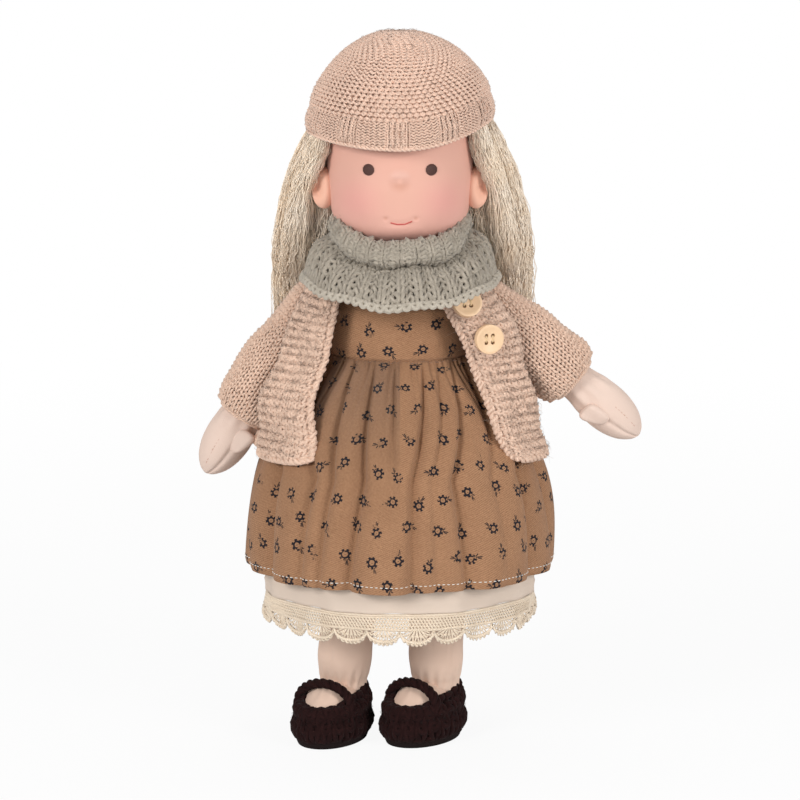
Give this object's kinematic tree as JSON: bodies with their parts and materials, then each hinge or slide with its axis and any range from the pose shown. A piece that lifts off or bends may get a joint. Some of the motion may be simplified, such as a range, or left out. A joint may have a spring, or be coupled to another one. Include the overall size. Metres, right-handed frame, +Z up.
{
  "type": "waldorf doll",
  "caption": "Standing stuffed cloth doll with movable limbs and turning head, in a gathered print dress, laced petticoat, open knitted cardigan, cowl, lift-off hat and crocheted strap shoes",
  "frame": {"origin": "on the ground under the middle of the doll's outline", "axes": "+Z up; the doll faces -Y and its left hand is at +X"},
  "size_m": [0.1876, 0.119, 0.2998],
  "materials": {
    "torso": "skin-toned cotton jersey, stuffed",
    "arm_right": "skin-toned cotton jersey, stuffed",
    "sleeve_right": "stockinette knit in beige wool",
    "cuff_right": "crocheted edge in beige wool",
    "arm_left": "skin-toned cotton jersey, stuffed",
    "sleeve_left": "stockinette knit in beige wool",
    "cuff_left": "crocheted edge in beige wool",
    "leg_right": "skin-toned cotton jersey, stuffed",
    "foot_right": "skin-toned cotton jersey, stuffed",
    "shoe_right": "chunky dark brown crochet",
    "strap_right": "crocheted chain in dark brown",
    "leg_left": "skin-toned cotton jersey, stuffed",
    "foot_left": "skin-toned cotton jersey, stuffed",
    "shoe_left": "chunky dark brown crochet",
    "strap_left": "crocheted chain in dark brown",
    "bodice": "printed tan cotton twill",
    "skirt": "printed tan cotton twill, gathered",
    "petticoat": "cream cotton, tucked above the hem",
    "lace_edging": "cream cotton crochet lace",
    "cowl": "chunky sage knit, ribbed",
    "cardigan_front_right": "garter knit in beige wool",
    "cardigan_front_left": "garter knit in beige wool",
    "cardigan_back": "garter knit in beige wool",
    "button_lower": "satin, pale cream",
    "button_upper": "satin, pale cream",
    "head": "rosy cotton jersey, firmly stuffed",
    "eye_right": "dark brown embroidery",
    "eye_left": "dark brown embroidery",
    "ear_right": "rosy cotton jersey, stuffed",
    "ear_left": "rosy cotton jersey, stuffed",
    "hair_cap": "cream-blond mohair, sewn down",
    "hair_right": "cream-blond mohair, loose and waved",
    "hair_left": "cream-blond mohair, loose and waved",
    "hair_back": "cream-blond mohair, loose and waved",
    "hat_crown": "purl side of a beige wool knit",
    "hat_brim": "ribbed beige wool knit"
  },
  "bodies": {
    "body": {"torso": "torso", "bodice": "bodice", "skirt": "skirt", "petticoat": "petticoat", "lace_edging": "lace_edging", "cardigan_back": "cardigan_back", "cardigan_front_right": "cardigan_front_right", "cardigan_front_left": "cardigan_front_left", "button_lower": "button_lower", "button_upper": "button_upper", "cowl": "cowl"},
    "head_group": {"head": "head", "eye_right": "eye_right", "eye_left": "eye_left", "ear_right": "ear_right", "ear_left": "ear_left", "hair_cap": "hair_cap", "hair_right": "hair_right", "hair_left": "hair_left", "hair_back": "hair_back"},
    "hat": {"hat_crown": "hat_crown", "hat_brim": "hat_brim"},
    "right_arm": {"arm_right": "arm_right", "sleeve_right": "sleeve_right", "cuff_right": "cuff_right"},
    "left_arm": {"arm_left": "arm_left", "sleeve_left": "sleeve_left", "cuff_left": "cuff_left"},
    "right_leg": {"leg_right": "leg_right", "foot_right": "foot_right", "shoe_right": "shoe_right", "strap_right": "strap_right"},
    "left_leg": {"leg_left": "leg_left", "foot_left": "foot_left", "shoe_left": "shoe_left", "strap_left": "strap_left"}
  },
  "joints": [
    {"name": "neck_turn", "type": "hinge", "parent": "body", "child": "head_group", "pos_m": [-0.00833, -0.0005, 0.2115], "axis": [0, 0, 1], "range_deg": [-20, 20], "deforming": ["hair_right", "hair_left", "hair_back"]},
    {"name": "hat_lift", "type": "slide", "parent": "head_group", "child": "hat", "axis": [0, 0, 1], "range_m": [0, 0.06]},
    {"name": "shoulder_right", "type": "hinge", "parent": "body", "child": "right_arm", "pos_m": [-0.04383, -0.0005, 0.1855], "axis": [0, 1, 0], "range_deg": [0, 42]},
    {"name": "shoulder_left", "type": "hinge", "parent": "body", "child": "left_arm", "pos_m": [0.02717, -0.0005, 0.1855], "axis": [0, -1, 0], "range_deg": [-16, 25]},
    {"name": "hip_right", "type": "hinge", "parent": "body", "child": "right_leg", "pos_m": [-0.02533, -0.0005, 0.118], "axis": [-1, 0, 0], "range_deg": [-20, 25]},
    {"name": "hip_left", "type": "hinge", "parent": "body", "child": "left_leg", "pos_m": [0.00867, -0.0005, 0.118], "axis": [-1, 0, 0], "range_deg": [-20, 25]}
  ]
}
